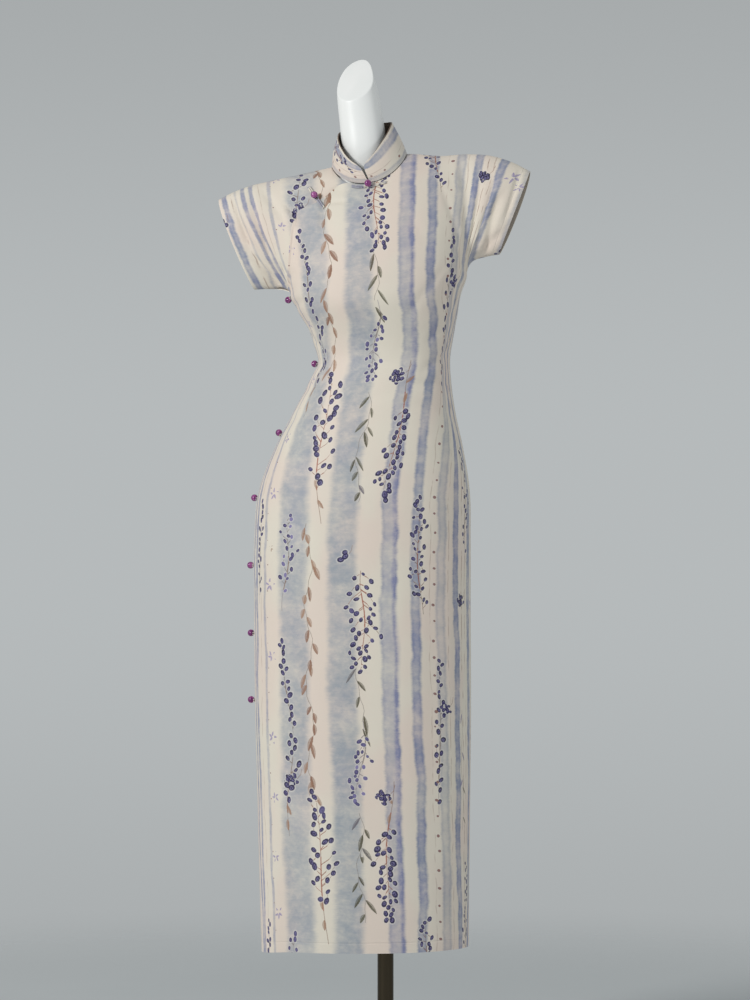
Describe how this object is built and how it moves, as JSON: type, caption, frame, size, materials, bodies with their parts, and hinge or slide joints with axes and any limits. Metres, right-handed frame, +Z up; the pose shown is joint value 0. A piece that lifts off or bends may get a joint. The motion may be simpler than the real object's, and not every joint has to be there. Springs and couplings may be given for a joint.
{
  "type": "cheongsam dress on a dress form",
  "caption": "Full-length fitted cheongsam with stand collar, short sleeves cut in one with the body, ball-button frogs and side slits, standing on a smooth limbless dress form.",
  "frame": {"origin": "middle of the base plate's underside, on the pole's axis, at floor level", "axes": "+Z up; the dress's front faces -Y; the wearer's left is +X"},
  "size_m": [0.4982, 0.36, 1.6335],
  "materials": {
    "printed_cloth": "soft crepe with a low sheen, watercolour stripes and berry sprays",
    "button_glaze": "glossy plum ball",
    "form_shell": "smooth white satin gloss",
    "stand_metal": "dark polished metal"
  },
  "bodies": {
    "root": {"front_panel": "printed_cloth", "back_panel": "printed_cloth", "underlap": "printed_cloth", "collar": "printed_cloth", "frog_collar_loop": "printed_cloth", "frog_collar_tail": "printed_cloth", "frog_collar_button": "button_glaze", "frog_chest_loop": "printed_cloth", "frog_chest_tail": "printed_cloth", "frog_chest_button": "button_glaze", "frog_side_1_loop": "printed_cloth", "frog_side_1_tail": "printed_cloth", "frog_side_1_button": "button_glaze", "frog_side_2_loop": "printed_cloth", "frog_side_2_tail": "printed_cloth", "frog_side_2_button": "button_glaze", "frog_side_3_loop": "printed_cloth", "frog_side_3_tail": "printed_cloth", "frog_side_3_button": "button_glaze", "frog_side_4_loop": "printed_cloth", "frog_side_4_tail": "printed_cloth", "frog_side_4_button": "button_glaze", "frog_side_5_loop": "printed_cloth", "frog_side_5_tail": "printed_cloth", "frog_side_5_button": "button_glaze", "frog_side_6_loop": "printed_cloth", "frog_side_6_tail": "printed_cloth", "frog_side_6_button": "button_glaze", "frog_side_7_loop": "printed_cloth", "frog_side_7_tail": "printed_cloth", "frog_side_7_button": "button_glaze", "dress_form": "form_shell", "pole": "stand_metal", "base_plate": "stand_metal"}
  },
  "joints": []
}
